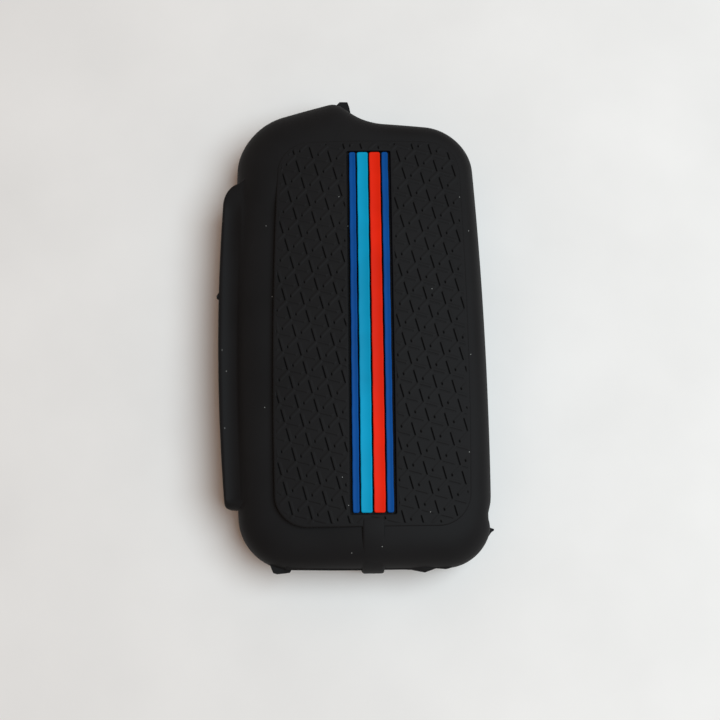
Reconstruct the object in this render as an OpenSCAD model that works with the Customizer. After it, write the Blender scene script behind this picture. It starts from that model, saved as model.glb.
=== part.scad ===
// Moulded silicone skin for a folding car key, lying on its button side with its back up.
// +X runs across the skin, +Y towards the end where the key blade swings out, +Z out of the back.

/* [Body] */
// Width of the body at its widest, without the lip round the blade slot
body_w = 42; // [38:0.5:50]
// Length from the tail to the tip of the high shoulder
body_l = 80.2; // [74:0.2:92]
// Height from the table to the top of the crowned back
body_h = 16.4; // [14.5:0.1:20]
// How far the long sides bulge between their corners
side_bow = 0.9; // [0:0.1:2]
// Height of the widest point of the bulge, measured from the middle towards the tail
bow_down = 6; // [0:0.5:12]
// How far the head end leans towards the blade slot, and the tail away from it
lean = 0.7; // [0:0.1:1.5]
// Radius of the back's crown across the body
crown_across_r = 95; // [70:1:200]
// Radius of the back's crown along the body
crown_along_r = 450; // [300:10:1200]
// Height of the rounded edge between the back and the sides
back_edge_h = 6; // [4.5:0.1:6.6]
// Width of the small rounded edge round the button side
front_edge_w = 1.5; // [0.8:0.1:2.2]
// Height of the small rounded edge round the button side
front_edge_h = 2.4; // [1.2:0.1:3]
// Wall of the skin
wall = 1.3; // [1:0.05:1.6]

/* [Outline] */
// Reach of the tail's rounded corner on the side of the blade slot
tail_reach = 8.2; // [6:0.1:11]
// Reach of the tail's other rounded corner
heel_reach = 7.5; // [6:0.1:11]
// Reach of the rounded corner beside the head
head_reach = 7.8; // [6:0.1:10]
// Reach of the rounded corner of the high shoulder
shoulder_reach = 7.8; // [6:0.1:10]
// Drop of the head edge below the tip of the shoulder
head_drop = 4.2; // [2:0.1:5]
// Further drop of the head edge at its outer end
head_fall = 1.3; // [0:0.1:1.5]
// Drop of the shoulder from its tip to its outer corner
shoulder_fall = 4.3; // [3:0.1:6]
// Distance from the middle of the body to the tip of the shoulder
tip_x = 3; // [1:0.1:4]
// Distance from the middle of the body to the foot of the dip
dip_x = 2.3; // [1:0.1:4]

/* [Pad] */
// Width of the raised pad at its widest
pad_w = 31.7; // [28:0.1:33]
// How far the pad and its bars lie off the middle of the body, away from the blade slot
pad_off = 1.7; // [0:0.1:2]
// Distance from the tail to the lower edge of the pad
pad_from_tail = 6.6; // [5:0.1:9]
// Distance from the tip of the shoulder to the upper edge of the pad
pad_from_tip = 9.5; // [9:0.1:13]
// Height of the pad over the back
pad_rise = 0.6; // [0.3:0.05:0.8]
// How far the pad's long sides bulge between their corners
pad_bow = 0.9; // [0:0.1:1.5]
// Reach of the rounded corners of the pad
pad_reach = 5; // [3:0.1:6]
// Width of the rounding along the pad's top edge
pad_soft = 0.25; // [0.1:0.05:0.4]

/* [Inlay] */
// Distance from the ends of the channel to the pad's edge
channel_margin = 1.9; // [1.4:0.1:4]
// Thickness of the bars
bar_t = 0.9; // [0.6:0.05:1]
// Width of the two wide bars in the middle
bar_wide = 1.8; // [1.4:0.05:2.2]
// Width of the two narrow bars at the sides
bar_narrow = 1.05; // [0.8:0.05:1.4]
// Gap between neighbouring bars and at their ends
bar_gap = 0.25; // [0.2:0.05:0.5]
// Gap between the bars and the wall of the channel
channel_gap = 0.45; // [0.2:0.05:0.6]
// How far the bars stand over the pad
bar_proud = 0.05; // [0:0.01:0.2]

/* [Blade slot] */
// Length of the slot that the folded blade lies in
slot_l = 50; // [36:0.5:51]
// Height of the slot
slot_h = 5; // [4.8:0.1:5.6]
// Distance from the tail to the lower end of the slot
slot_from_tail = 11; // [10:0.5:14]
// Height of the middle of the slot over the table
slot_z = 7; // [6.6:0.1:7.6]
// How far the lip stands out of the side
lip_out = 2.5; // [1.5:0.1:3]
// Wall of the lip round the slot
lip_wall = 1.2; // [1:0.1:1.6]
// How much longer the lip's foot is at the head end, where it slopes out of the side
lip_ramp = 4.4; // [1:0.1:5]
// How far the lip's outer edge falls back towards its ends
lip_bow = 0.6; // [0:0.1:0.8]
// Reach of the rounding on the lip's outer edge
lip_soft = 0.9; // [0.5:0.1:1]

/* [Mouths] */
// Width of the head mouth, where the blade's pivot swings out
mouth_w = 17; // [10:0.5:19]
// Height of the head mouth
mouth_h = 6.4; // [5:0.1:7]
// Distance from the middle of the body to the middle of the head mouth
mouth_x = 8; // [5:0.5:9]
// Width of the keyring mouth in the tail, both halves together
ring_mouth_w = 24; // [16:0.5:26]
// Height of the keyring mouth
ring_mouth_h = 5.4; // [4.8:0.1:6]
// Height of the middle of the mouths over the table
mouth_z = 7.4; // [6.5:0.1:8]

/* [Ring strap] */
// Width of the strap that bridges the keyring mouth
strap_w = 3.6; // [3:0.1:6]
// How far the strap stands over the pad
strap_step = 0.1; // [0.05:0.05:0.4]
// How far the strap reaches onto the pad
strap_on_pad = 1.3; // [0.6:0.1:1.3]
// Height of the strap's lower end over the table
strap_low = 2.8; // [2.6:0.1:3.6]
// Cut of the strap's two lower corners
strap_cut = 0.6; // [0.2:0.1:1.2]

/* [Buttons] */
// Depth of the recess round the buttons
recess = 0.8; // [0.6:0.05:1]
// Width of the flat rim that the skin rests on
rim = 2.4; // [1.8:0.1:4]
// Width of a button cap
cap_w = 20; // [14:0.5:22]
// Length of a button cap along the body
cap_l = 9.6; // [8:0.1:10.5]
// Reach of the rounded corners of a button cap
cap_reach = 4; // [2:0.1:4.5]
// Thickness of a button cap
cap_t = 1.5; // [1.2:0.05:1.8]
// Height of the button caps over the table
cap_up = 0.3; // [0.1:0.05:0.5]
// Crown of a button cap
cap_crown = 0.25; // [0.1:0.05:0.3]
// Travel of a button cap into the skin
cap_travel = 0.7; // [0.4:0.1:1]
// Distance between neighbouring button caps, middle to middle
cap_pitch = 13.4; // [13:0.1:15]
// Distance from the tail to the middle of the lowest button cap
cap_from_tail = 17; // [15:0.5:20]
// Width of the thin web that carries a button cap
web_w = 1.2; // [0.8:0.1:1.4]
// Thickness of the web
web_t = 0.4; // [0.3:0.05:0.5]
// Radius of the hole that the key's release button comes through
release_r = 6; // [4:0.1:7]
// Distance from the tip of the shoulder to the middle of the release hole
release_from_tip = 15.5; // [14.5:0.5:18]
// Distance from the middle of the body to the middle of the release hole
release_x = 5; // [0:0.5:8]

/* [Hidden] */
$fn = 72;

// One overrun serves every cut
over = 1;

// How far the strap stands over the back and the tail
strap_rise = pad_rise + strap_step;

// Steps along each rounded corner and each edge of an outline, from the tail's +X corner round
corner_steps = 6;
tail_steps = 6;
edge_steps = [9, 4, 2, 4, 9, tail_steps];

// Steps of the rounded edges, the button caps, the lip and the channel's floor
front_steps = 4;
back_steps = 7;
cap_steps = 7;
lip_steps = 4;
lip_side_steps = 10;
profile_steps = 24;

// Reaches of the rounding at the tip and the foot of the dip, as shares of the head's drop
tip_reach_share = 0.3;
dip_reach_share = 0.7;

// Place of the widest ring points that a loft's end closes between, as a share of the ring
side_share = 0.2;

// Widths of the pad's inner rings, as shares of the pad
inner_shares = [[0.66, 0.94], [0.3, 0.86]];

// Rings of a button cap's face: shares of the corner reach drawn in and of the crown
face_shares = [[0.5, 0], [0.2, 0.4], [0, 1]];

// Rings of the lip's rounded edge: shares of its rounding left to go out and drawn in, and of the ramp
lip_edge_shares = [[1, 0, 0.3], [0.3, 0.3, 0.1], [0, 1, 0]];

// Middle lines of the body and the pad
mid_x = lip_out / 2;
pad_x = mid_x + pad_off;
bow_y = -bow_down;
bow_half = body_l / 2;

// Half widths at the ends of the long sides, where the bulge is nil
body_end = body_w / 2 - side_bow;
pad_end = pad_w / 2 - pad_bow;
body_left = mid_x - body_w / 2;

bar_widths = [bar_narrow, bar_wide, bar_wide, bar_narrow];
bars_w = bar_narrow * 2 + bar_wide * 2 + bar_gap * 3;
channel_w = bars_w + channel_gap * 2;
channel_depth = bar_t - bar_proud;

front_in = recess + wall;
web_foot_z = front_in - web_t;
web_head_z = web_foot_z - cap_travel;

skin_colour = [0.11, 0.11, 0.115];
navy = [0.06, 0.2, 0.45];
sky = [0.1, 0.57, 0.72];
red = [0.85, 0.18, 0.07];

function blend(a, b, t) = a + (b - a) * t;
function unit(v) = v / norm(v);

// Height of the pad's crowned top over a point
function top_z(p) =
    body_h - pow(p[0] - pad_x, 2) / (2 * crown_across_r) - pow(p[1] - bow_y, 2) / (2 * crown_along_r);

// Height of the back round the pad
function back_z(p) = top_z(p) - pad_rise;

// Points round one corner p between its neighbours a and b: a true arc where the reach fits a circle
function corner_arc(a, p, b, reach, steps) =
    let (
        from = p + reach * unit(a - p),
        to = p + reach * unit(b - p),
        weight = sqrt((1 + unit(p - a) * unit(b - p)) / 2)
    )
    [for (i = [0:steps])
        let (t = i / steps, u = 1 - t, k = u * u + 2 * weight * u * t + t * t)
        (u * u * from + 2 * weight * u * t * p + t * t * to) / k];

// A closed outline with rounded corners, and steps[i] - 1 points on the edge after corner i
function outline(corners, reaches, corner_n, steps) =
    let (n = len(corners))
    [for (i = [0:n - 1])
        let (
            p = corners[i],
            q = corners[(i + 1) % n],
            from = p + reaches[i] * unit(q - p),
            to = q + reaches[(i + 1) % n] * unit(p - q)
        )
        each concat(
            corner_arc(corners[(i + n - 1) % n], p, q, reaches[i], corner_n),
            [for (k = [1:1:steps[i] - 1]) blend(from, to, k / steps[i])]
        )];

// The same outline, starting at the middle of the tail
function from_tail(points) =
    let (n = len(points), start = n - tail_steps / 2)
    [for (i = [0:n - 1]) points[(start + i) % n]];

// Place along the body, from -1 at the tail through 0 at the widest point
function along(y) = (y - bow_y) / bow_half;

// Bulges the long sides: full at bow_y, nil at half a body away
function bowed(points, x, half, bow) =
    [for (p = points)
        [p[0] + (p[0] - x) / half * bow * (1 - pow(along(p[1]), 2)), p[1]]];

function leaning(points) = [for (p = points) [p[0] - lean * along(p[1]), p[1]]];

// The body's outline before it bulges and leans, with the tail at y
function body_outline(y) =
    let (head = y + body_l - head_drop)
    from_tail(outline(
        [
            [mid_x + body_end, y],
            [mid_x + body_end, head - head_fall],
            [mid_x + dip_x, head],
            [mid_x - tip_x, y + body_l],
            [mid_x - body_end, y + body_l - shoulder_fall],
            [mid_x - body_end, y]
        ],
        [heel_reach, head_reach, dip_reach, tip_reach, shoulder_reach, tail_reach],
        corner_steps,
        edge_steps
    ));

dip_reach = head_drop * dip_reach_share;
tip_reach = head_drop * tip_reach_share;

// The origin is under the middle of the part's length, from the strap's lower end to the rounded tip
tail_y = (strap_rise - max([for (p = body_outline(0)) p[1]])) / 2;
tip_y = tail_y + body_l;
pad_low = tail_y + pad_from_tail;
pad_high = tip_y - pad_from_tip;
slot_low = tail_y + slot_from_tail;

boot_y = tail_y + cap_from_tail;
unlock_y = boot_y + cap_pitch;
lock_y = unlock_y + cap_pitch;

body_ring = leaning(bowed(body_outline(tail_y), mid_x, body_end, side_bow));
ring_points = len(body_ring);

pad_corners = [
    [pad_x + pad_end, pad_low],
    [pad_x + pad_end, pad_high],
    [mid_x + dip_x, pad_high],
    [mid_x - tip_x, pad_high],
    [pad_x - pad_end, pad_high],
    [pad_x - pad_end, pad_low]
];
pad_reaches = [pad_reach, pad_reach, dip_reach, tip_reach, pad_reach, pad_reach];
pad_ring = bowed(
    from_tail(outline(pad_corners, pad_reaches, corner_steps, edge_steps)), pad_x, pad_end, pad_bow
);
pad_mid = [pad_x, (pad_low + pad_high) / 2];

// The body's widest outline, drawn in by d towards the pad's edge
function inset(d) =
    [for (i = [0:ring_points - 1])
        blend(body_ring[i], pad_ring[i], d / norm(pad_ring[i] - body_ring[i]))];

// The pad's outline drawn in towards its middle
function drawn_in(shares) =
    [for (p = pad_ring) [blend(pad_mid[0], p[0], shares[0]), blend(pad_mid[1], p[1], shares[1])]];

function at_z(ring, z) = [for (p = ring) [p[0], p[1], z]];

// The rounded back edge, d inside the skin's outer face
function back_edge(d) =
    let (start = inset(d))
    [for (i = [0:back_steps])
        let (a = 90 * i / back_steps)
        [for (k = [0:ring_points - 1])
            let (p = blend(pad_ring[k], start[k], cos(a)))
            [p[0], p[1], back_z(p) - d - (back_edge_h - d) * (1 - sin(a))]]];

// The button side's edge, d inside the skin's outer face and starting at height z
function front_edge(d, z) =
    [for (i = [0:front_steps])
        let (a = 90 * i / front_steps)
        at_z(inset(d + front_edge_w * (1 - sin(a))), z + front_edge_h * (1 - cos(a)))];

// Rings of the crowned top: the pad's step first, then the rings drawn in over it
function pad_rings(rise) =
    let (soft_share = 1 - pad_soft / pad_end)
    concat(
        [[for (p = pad_ring) [p[0], p[1], back_z(p) + rise - pad_soft]]],
        [[for (p = drawn_in([soft_share, soft_share])) [p[0], p[1], back_z(p) + rise]]],
        top_rings(rise)
    );
function top_rings(rise) =
    [for (shares = inner_shares) [for (p = drawn_in(shares)) [p[0], p[1], back_z(p) + rise]]];

// Closed solid through rings of equal length, each higher than the last and numbered from the tail.
// Each end closes on a point midway between the long sides.
module loft(rings) {
    n = len(rings[0]);
    last = len(rings) - 1;
    side = round(n * side_share);
    low_mid = (rings[0][side] + rings[0][n - side]) / 2;
    high_mid = (rings[last][side] + rings[last][n - side]) / 2;
    polyhedron(
        points = concat([for (r = rings) each r], [low_mid, high_mid]),
        faces = concat(
            [for (i = [0:n - 1]) [(last + 1) * n, i, (i + 1) % n]],
            [for (j = [0:last - 1], i = [0:n - 1])
                let (a = j * n + i, b = a + n, c = (j + 1) * n + (i + 1) % n, d = c - n)
                each [[a, b, c], [a, c, d]]],
            [for (i = [0:n - 1]) [(last + 1) * n + 1, last * n + (i + 1) % n, last * n + i]]
        )
    );
}

module outer_body() {
    loft(concat(front_edge(0, 0), back_edge(0), pad_rings(pad_rise)));
}

module key_cavity() {
    loft(concat(front_edge(wall, front_in), back_edge(wall), top_rings(-wall)));
}

// Band of the tail's middle, raised over the back, the tail edge and the keyring mouth
module ring_strap() {
    low = strap_low;
    half = strap_w / 2;
    start = pad_low + strap_on_pad;
    intersection() {
        loft(concat(front_edge(-strap_rise, 0), back_edge(-strap_rise), top_rings(strap_rise)));
        translate([pad_x, start, 0])
            rotate([90, 0, 0])
            linear_extrude(start - tail_y + strap_rise + over)
            polygon([
                [-half, body_h],
                [-half, low + strap_cut],
                [strap_cut - half, low],
                [half - strap_cut, low],
                [half, low + strap_cut],
                [half, body_h]
            ]);
    }
}

// Rounded rectangle, w by l, numbered from the middle of its lower edge
function pill(w, l, reach, corner_n, side_n) =
    let (
        x = w / 2,
        y = l / 2,
        corners = [[x, -y], [x, y], [-x, y], [-x, -y]],
        points = outline(corners, [reach, reach, reach, reach], corner_n, [side_n, 2, side_n, 2]),
        n = len(points)
    )
    [for (i = [0:n - 1]) points[(n - 1 + i) % n]];

// Rings of the lip round the blade slot: how far out, how far drawn in, and the length of the ramp
lip_rings = concat(
    [[-wall - side_bow, 0, lip_ramp]],
    [for (s = lip_edge_shares) [lip_out - lip_soft * s[0], lip_soft * s[1], lip_ramp * s[2]]]
);

// Turns a shape that is drawn upwards so that it looks out of the -X side, at the height of the slot
module on_slot_side() {
    translate([body_left, slot_low + slot_l / 2, slot_z]) rotate([0, -90, 0]) children();
}

// The lip: rounded rectangles stacked outwards, bowed like the side, with a ramp at the head end
module slot_lip() {
    lip_l = slot_l + lip_wall * 2;
    lip_h = slot_h + lip_wall * 2;
    reach = lip_wall + lip_soft;
    on_slot_side()
        loft([for (r = lip_rings)
            let (in = r[1], ramp = r[2] / lip_l)
            [for (p = pill(lip_h - in * 2, lip_l - in * 2, reach - in, lip_steps, lip_side_steps))
                let (
                    y = p[1] + ramp * max(0, p[1] + lip_l / 2),
                    t = along(y + slot_low + slot_l / 2),
                    end_share = p[1] * 2 / lip_l
                )
                [p[0], y, r[0] - side_bow * t * t + lean * t - lip_bow * end_share * end_share]]]);
}

// Outline of the channel or a bar seen from the side, between two heights under the pad's top line
function side_profile(low, high, bottom, top) =
    let (ys = [for (i = [0:profile_steps]) blend(low, high, i / profile_steps)])
    concat(
        [for (y = ys) [y, top_z([pad_x, y]) + bottom]],
        [for (i = [profile_steps:-1:0]) [ys[i], top_z([pad_x, ys[i]]) + top]]
    );

// A strip of that outline, w wide, with its -X side at x
module strip(x, w, low, high, bottom, top) {
    translate([x, 0, 0])
        rotate([90, 0, 90])
        linear_extrude(w)
        polygon(side_profile(low, high, bottom, top));
}

module channel() {
    low = pad_low + channel_margin;
    high = pad_high - channel_margin;
    strip(pad_x - channel_w / 2, channel_w, low, high, -channel_depth, over);
}

// Distance from the first bar's outer side to bar number i
function bar_start(i) = i == 0 ? 0 : bar_start(i - 1) + bar_widths[i - 1] + bar_gap;

// Bar number i, counted from the -X side
module bar(i) {
    low = pad_low + channel_margin + bar_gap;
    high = pad_high - channel_margin - bar_gap;
    strip(pad_x - bars_w / 2 + bar_start(i), bar_widths[i], low, high, -channel_depth, bar_proud);
}

// Upright block with the given outline
module plate(points, low, high) {
    translate([0, 0, low]) linear_extrude(high - low) polygon(points);
}

function cap_outline(grow) = pill(cap_w + grow * 2, cap_l + grow * 2, cap_reach + grow, cap_steps, 1);

module at_cap(y) {
    translate([mid_x, y, 0]) children();
}

// Opening of the front wall round one button cap, the width of its web
module cap_hole(y) {
    at_cap(y) plate(cap_outline(web_w), -over, front_in + over);
}

// Shallow panel between the button side's rim and the button caps
module button_recess() {
    plate(inset(front_edge_w + rim), -over, recess);
}

module release_hole() {
    translate([mid_x + release_x, tip_y - release_from_tip, -over])
        cylinder(r = release_r, h = front_in + over * 2);
}

// Way through a wall along Y
module mouth(x, w, h, y, depth) {
    translate([x - w / 2, y - depth / 2, mouth_z - h / 2]) cube([w, depth, h]);
}

module head_mouth() {
    mouth(mid_x + mouth_x, mouth_w, mouth_h, tip_y, (pad_from_tip - wall) * 2);
}

module ring_mouth() {
    mouth(pad_x, ring_mouth_w, ring_mouth_h, tail_y, (pad_from_tail - wall) * 2);
}

module blade_slot() {
    deep = (body_w - pad_w) / 2;
    on_slot_side()
        translate([0, 0, -deep])
        linear_extrude(deep + lip_out + over)
        polygon(pill(slot_h, slot_l, lip_wall, lip_steps, 1));
}

module skin() {
    color(skin_colour)
        difference() {
            union() {
                difference() {
                    outer_body();
                    ring_mouth();
                }
                ring_strap();
                slot_lip();
            }
            key_cavity();
            blade_slot();
            head_mouth();
            channel();
            button_recess();
            cap_hole(lock_y);
            cap_hole(unlock_y);
            cap_hole(boot_y);
            release_hole();
        }
}

module inlay_navy_left() {
    color(navy) bar(0);
}

module inlay_sky() {
    color(sky) bar(1);
}

module inlay_red() {
    color(red) bar(2);
}

module inlay_navy_right() {
    color(navy) bar(3);
}

// Cap with a crowned face towards the table
module button_cap(y) {
    color(skin_colour)
        at_cap(y)
        loft(concat(
            [for (s = face_shares) at_z(cap_outline(-cap_reach * s[0]), cap_up + cap_crown * s[1])],
            [at_z(cap_outline(0), cap_up + cap_t)]
        ));
}

// Thin sloping ring between the front wall and the cap, which flattens as the cap goes in
module button_web(y) {
    foot = cap_outline(web_w);
    head = cap_outline(0);
    n = len(foot);
    rings = [
        at_z(foot, web_foot_z),
        at_z(head, web_head_z),
        at_z(head, web_head_z + web_t),
        at_z(foot, web_foot_z + web_t)
    ];
    color(skin_colour)
        at_cap(y)
        polyhedron(
            points = [for (r = rings) each r],
            faces = [for (j = [0:3], i = [0:n - 1])
                let (k = (i + 1) % n, a = j * n, b = (j + 1) % 4 * n)
                each [[a + i, a + k, b + k], [a + i, b + k, b + i]]]
        );
}

module lock_button() {
    button_cap(lock_y);
}

module unlock_button() {
    button_cap(unlock_y);
}

module boot_button() {
    button_cap(boot_y);
}

module lock_web() {
    button_web(lock_y);
}

module unlock_web() {
    button_web(unlock_y);
}

module boot_web() {
    button_web(boot_y);
}

skin();
inlay_navy_left();
inlay_sky();
inlay_red();
inlay_navy_right();
lock_button();
unlock_button();
boot_button();
lock_web();
unlock_web();
boot_web();
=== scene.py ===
"""Looks of a moulded silicone skin for a folding car key, which lies on its button side with its back up."""

import math

import bpy
import numpy as np
from mathutils import Matrix, Quaternion, Vector
from mathutils.geometry import delaunay_2d_cdt


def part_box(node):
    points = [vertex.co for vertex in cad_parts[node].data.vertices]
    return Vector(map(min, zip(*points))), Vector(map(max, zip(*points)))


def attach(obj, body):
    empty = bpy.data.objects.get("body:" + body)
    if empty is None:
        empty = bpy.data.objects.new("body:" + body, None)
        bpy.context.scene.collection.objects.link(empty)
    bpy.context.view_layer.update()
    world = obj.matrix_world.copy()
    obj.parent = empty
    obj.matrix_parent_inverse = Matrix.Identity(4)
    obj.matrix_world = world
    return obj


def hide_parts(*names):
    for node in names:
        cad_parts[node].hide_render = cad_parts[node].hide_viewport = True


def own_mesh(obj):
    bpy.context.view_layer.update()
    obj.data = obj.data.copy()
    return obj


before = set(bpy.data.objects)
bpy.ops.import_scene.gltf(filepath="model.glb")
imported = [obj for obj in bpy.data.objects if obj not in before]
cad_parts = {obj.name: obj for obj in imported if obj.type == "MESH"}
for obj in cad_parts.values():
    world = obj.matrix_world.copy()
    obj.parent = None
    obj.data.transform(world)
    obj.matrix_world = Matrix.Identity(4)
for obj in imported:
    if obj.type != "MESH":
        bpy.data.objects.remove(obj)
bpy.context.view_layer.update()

MM = 0.001

# Body, in millimetres as all sizes here. Its long sides bulge most at bow_y, its middle line leans to the
# left towards the head, and its back is crowned with one radius across and one along
body_w = 42
body_l = 80.2
body_h = 16.4
side_bow = 0.9
bow_y = -6
lean = 0.7
crown_across_r = 95
crown_along_r = 450
back_edge_h = 6
front_edge_w = 1.5
front_edge_h = 2.4
wall = 1.3

# Outline: how far each corner's curve reaches along its edges, and how far corners lie below the peak
tail_reach = 8.2
heel_reach = 7.5
head_reach = 7.8
shoulder_reach = 7.8
head_drop = 4.2
head_fall = 1.3
shoulder_fall = 4.3
tip_x = 3
dip_x = 2.3
dip_reach = head_drop * 0.7
tip_reach = head_drop * 0.3

# Pad
pad_w = 31.7
pad_off = 1.7
pad_from_tail = 6.6
pad_from_tip = 9.5
pad_rise = 0.6
pad_bow = 0.9
pad_reach = 5
pad_soft = 0.25
# How far its foot goes down into the back
pad_root = 0.85
# On the left the back is a little sunk beside the pad, and that fades over this share of the way outwards
sunk = 0.4
sunk_share = 1.5
# Towards the right and the head it is flush with the pad but for this step, from these places on
flush_step = 0.12
flush_x = -8
flush_run_x = 14
flush_y = 19
flush_run_y = 6

# Inlay: coloured bars in a channel, with soft edges and slightly hollow faces
channel_margin = 1.9
bar_t = 0.9
bar_wide = 1.8
bar_narrow = 1.05
bar_gap = 0.25
channel_gap = 0.45
bar_proud = 0.05
bar_soft = 0.14
bar_hollow = 0.05
bar_corner = 0.32
# The bars' sides are slightly uneven: how far they go in and out, and for each wave on them its radians per
# millimetre, per bar and per side, and how much it counts
bar_wave = 0.012
bar_waves = [(0.61, 2.1, 1, 1), (1.43, 1, 2, 1), (3.7, 3, 0, 0.5)]
bar_widths = [bar_narrow, bar_wide, bar_wide, bar_narrow]
bars_w = sum(bar_widths) + bar_gap * 3
channel_w = bars_w + channel_gap * 2
channel_depth = bar_t - bar_proud
channel_corner = 0.3
channel_soft = 0.1

# Blade slot and its lip
slot_l = 50
slot_h = 5
slot_from_tail = 11
slot_z = 7
lip_out = 2.5
lip_wall = 1.2
lip_bow = 0.6
slot_corner = 1.2
slot_flare = 0.35

# Mouths and ring strap
mouth_w = 17
mouth_h = 6.4
mouth_x = 8
ring_mouth_w = 24
ring_mouth_h = 5.4
mouth_z = 7.4
mouth_corner = 1.2
mouth_flare = 0.3
strap_w = 3.6
strap_step = 0.1
# The strap starts this far up the pad and ends this high over the table
strap_on_pad = 1.3
strap_low = 2.8
strap_soft = 0.45
strap_rise = pad_rise + strap_step

# Buttons: caps in a recess of the front, each in a thin web, and the hole over the key's release button
recess = 0.8
rim = 2.4
cap_w = 20
cap_l = 9.6
cap_reach = 4
cap_t = 1.5
# Height of a cap's crown over the table, and how far its face is crowned
cap_up = 0.3
cap_crown = 0.25
cap_travel = 0.7
cap_pitch = 13.4
cap_from_tail = 17
web_w = 1.2
web_t = 0.4
release_r = 6
release_from_tip = 15.5
release_x = 5
release_soft = 0.3
recess_soft = 0.3
recess_root = 0.25
button_hole_soft = 0.25
cap_soft = 0.3

# Places that follow from these sizes
mid_x = lip_out / 2
pad_x = mid_x + pad_off
bow_half = body_l / 2
body_end = body_w / 2 - side_bow
pad_end = pad_w / 2 - pad_bow
tail_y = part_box("skin")[0].y / MM + strap_rise
tip_y = tail_y + body_l
pad_low = tail_y + pad_from_tail
pad_high = tip_y - pad_from_tip
channel_low = pad_low + channel_margin
channel_high = pad_high - channel_margin
channel_mid = (channel_low + channel_high) / 2
slot_low = tail_y + slot_from_tail
slot_mid = slot_low + slot_l / 2
front_in = recess + wall
web_foot_z = front_in - web_t
web_head_z = web_foot_z - cap_travel
boot_y = tail_y + cap_from_tail
unlock_y = boot_y + cap_pitch
lock_y = unlock_y + cap_pitch

# How far cutters reach past what they cut
OVER = 1


def unit(v):
    return v / np.linalg.norm(v)


def blend(a, b, t):
    return a + (b - a) * t


def ease(t):
    """Soft step from 0 to 1."""
    t = np.clip(t, 0, 1)
    return t * t * (3 - 2 * t)


def along(y):
    """Place along the body, from -1 at the tail through 0 at the widest point."""
    return (y - bow_y) / bow_half


def top_z(x, y):
    """Height of the pad's crowned top over a point."""
    return body_h - (x - pad_x) ** 2 / (2 * crown_across_r) - (y - bow_y) ** 2 / (2 * crown_along_r)


def back_z(x, y):
    """Height of the back round the pad."""
    return top_z(x, y) - pad_rise


def corner_arc(a, p, b, reach, steps):
    """Points round the corner p between its neighbours a and b, as a rational quadratic curve."""
    start = p + reach * unit(a - p)
    end = p + reach * unit(b - p)
    weight = math.sqrt((1 + unit(p - a) @ unit(b - p)) / 2)
    t = np.linspace(0, 1, steps + 1)[:, None]
    u = 1 - t
    return (u * u * start + 2 * weight * u * t * p + t * t * end) / (u * u + 2 * weight * u * t + t * t)


def outline(corners, reaches, corner_n, marks):
    """A closed outline with rounded corners. marks[i]: shares of the edge after corner i where points lie."""
    corners = [np.array(c, float) for c in corners]
    parts = []
    for i, p in enumerate(corners):
        j = (i + 1) % len(corners)
        q = corners[j]
        start = p + reaches[i] * unit(q - p)
        end = q + reaches[j] * unit(p - q)
        parts.append(corner_arc(corners[i - 1], p, q, reaches[i], corner_n))
        parts.append(blend(start, end, np.asarray(marks[i])[:, None]))
    return np.concatenate(parts)


def even(n):
    """Shares of n equal steps, without the two ends."""
    return np.arange(1, n) / n


def pill(w, l, reach, corner_n, side_n, end_n):
    """Rounded rectangle, numbered from the middle of its lower edge."""
    x, y = w / 2, l / 2
    points = outline(
        [[x, -y], [x, y], [-x, y], [-x, -y]],
        [reach] * 4,
        corner_n,
        [even(side_n), even(end_n), even(side_n), even(end_n)],
    )
    return np.roll(points, end_n // 2, axis=0)


def mesh_object(name, points, faces):
    """A mesh in the scene, from points in millimetres."""
    mesh = bpy.data.meshes.new(name)
    mesh.from_pydata((np.asarray(points, float) * MM).tolist(), [], [list(map(int, f)) for f in faces])
    mesh.validate()
    made = bpy.data.objects.new(name, mesh)
    bpy.context.scene.collection.objects.link(made)
    return made


def raised(ring, z):
    """Points of a flat ring at the height z, which may differ from point to point."""
    return np.column_stack([ring, np.broadcast_to(z, len(ring))])


def band_faces(rings_n, n):
    """Quads between rings of n points that lie after one another."""
    return [
        (j * n + i, j * n + (i + 1) % n, (j + 1) * n + (i + 1) % n, (j + 1) * n + i)
        for j in range(rings_n - 1)
        for i in range(n)
    ]


def ladder(n, first, up):
    """Faces across a ring that is the same on both sides of its first point."""
    faces = []
    for i in range(n // 2):
        a, b, c, d = i, i + 1, n - i - 1, (n - i) % n
        face = [first + k for k in dict.fromkeys((a, b, c, d))]
        if len(face) > 2:
            faces.append(face if up else face[::-1])
    return faces


def fan(n, first, apex, up):
    """Triangles from a ring to one point."""
    return [(first + i, first + (i + 1) % n, apex)[:: 1 if up else -1] for i in range(n)]


def stacked(name, rings, ends="across"):
    """Closed solid through rings of equal length, one after another.

    Its ends are closed across the ring, on a point, or by one flat face where the outline has hollows.
    """
    n = len(rings[0])
    last = (len(rings) - 1) * n
    points = np.concatenate(rings)
    faces = band_faces(len(rings), n)
    if ends == "point":
        points = np.concatenate([points, [r.mean(axis=0) for r in (rings[0], rings[-1])]])
        faces += fan(n, 0, last + n, False) + fan(n, last, last + n + 1, True)
    elif ends == "flat":
        faces += [range(n)[::-1], range(last, last + n)]
    else:
        faces += ladder(n, 0, False) + ladder(n, last, True)
    return mesh_object(name, points, faces)


# The body's and the pad's outlines, point by point

corner_steps = 22
# The head end is drawn in by this much, starting at trim_y, to make up for the squarer edge that it has here
head_trim = 0.4
trim_y = 26
trim_run = 9
lip_low = slot_low - lip_wall
lip_high = slot_low + slot_l + lip_wall
shoulder_end = tip_y - shoulder_fall - shoulder_reach
side_span = shoulder_end - (tail_y + tail_reach)


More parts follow.
